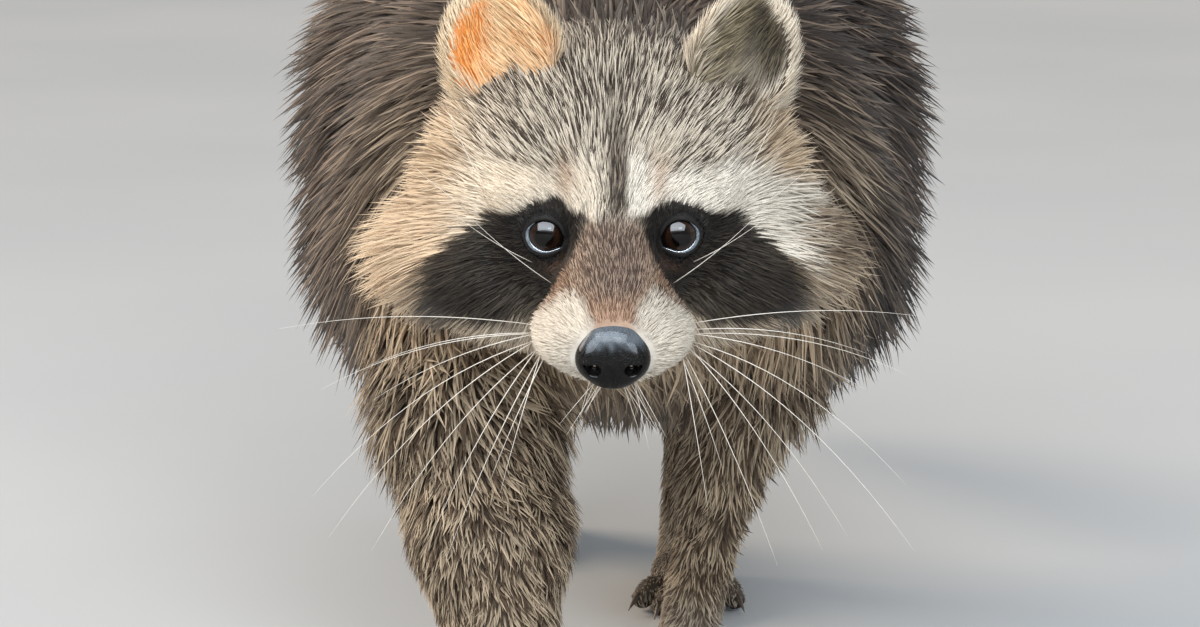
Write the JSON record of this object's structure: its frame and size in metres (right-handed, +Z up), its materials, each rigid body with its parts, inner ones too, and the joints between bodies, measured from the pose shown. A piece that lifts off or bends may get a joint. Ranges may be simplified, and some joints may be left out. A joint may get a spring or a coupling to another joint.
{
  "type": "raccoon",
  "caption": "Life-size adult raccoon walking with its head held low, in thick winter coat with a dark mask, pale brows and a ringed tail.",
  "frame": {"origin": "on the floor under the middle of the animal's bounding box", "axes": "+Z up, the animal faces -Y, +X is its left side"},
  "size_m": [0.259, 0.7226, 0.3327],
  "materials": {
    "coat_fur": "dark grey-brown guard hairs with pale bands over brown underfur",
    "face_fur": "short grizzled fur with a dark mask and pale brows",
    "pale_fur": "very short off-white fur of the muzzle",
    "ear_fur": "cream fringe round a darker, thinly furred hollow",
    "leg_fur": "woolly grey-brown fur with pale tips",
    "tail_fur": "long fur in pale and dark rings",
    "paw_skin": "short pale grey fur over the toes, dark bare soles",
    "nose_leather": "moist, finely pebbled, glossy",
    "eye": "wet and glossy, very dark brown",
    "claw": "smooth dark horn",
    "whisker": "smooth white bristle"
  },
  "bodies": {
    "root": {"head": "face_fur", "muzzle": "pale_fur", "nose": "nose_leather", "eye_right": "eye", "eye_left": "eye", "ear_right": "ear_fur", "ear_left": "ear_fur", "neck": "coat_fur", "trunk": "coat_fur", "tail_base": "tail_fur", "tail_middle": "tail_fur", "tail_tip": "tail_fur", "foreleg_right_upper": "coat_fur", "foreleg_right_lower": "leg_fur", "forepaw_right": "paw_skin", "foreleg_left_upper": "coat_fur", "foreleg_left_lower": "leg_fur", "forepaw_left": "paw_skin", "hindleg_right_upper": "coat_fur", "hindleg_right_lower": "leg_fur", "hindpaw_right": "paw_skin", "hindleg_left_upper": "coat_fur", "hindleg_left_lower": "leg_fur", "hindpaw_left": "paw_skin"}
  },
  "joints": []
}
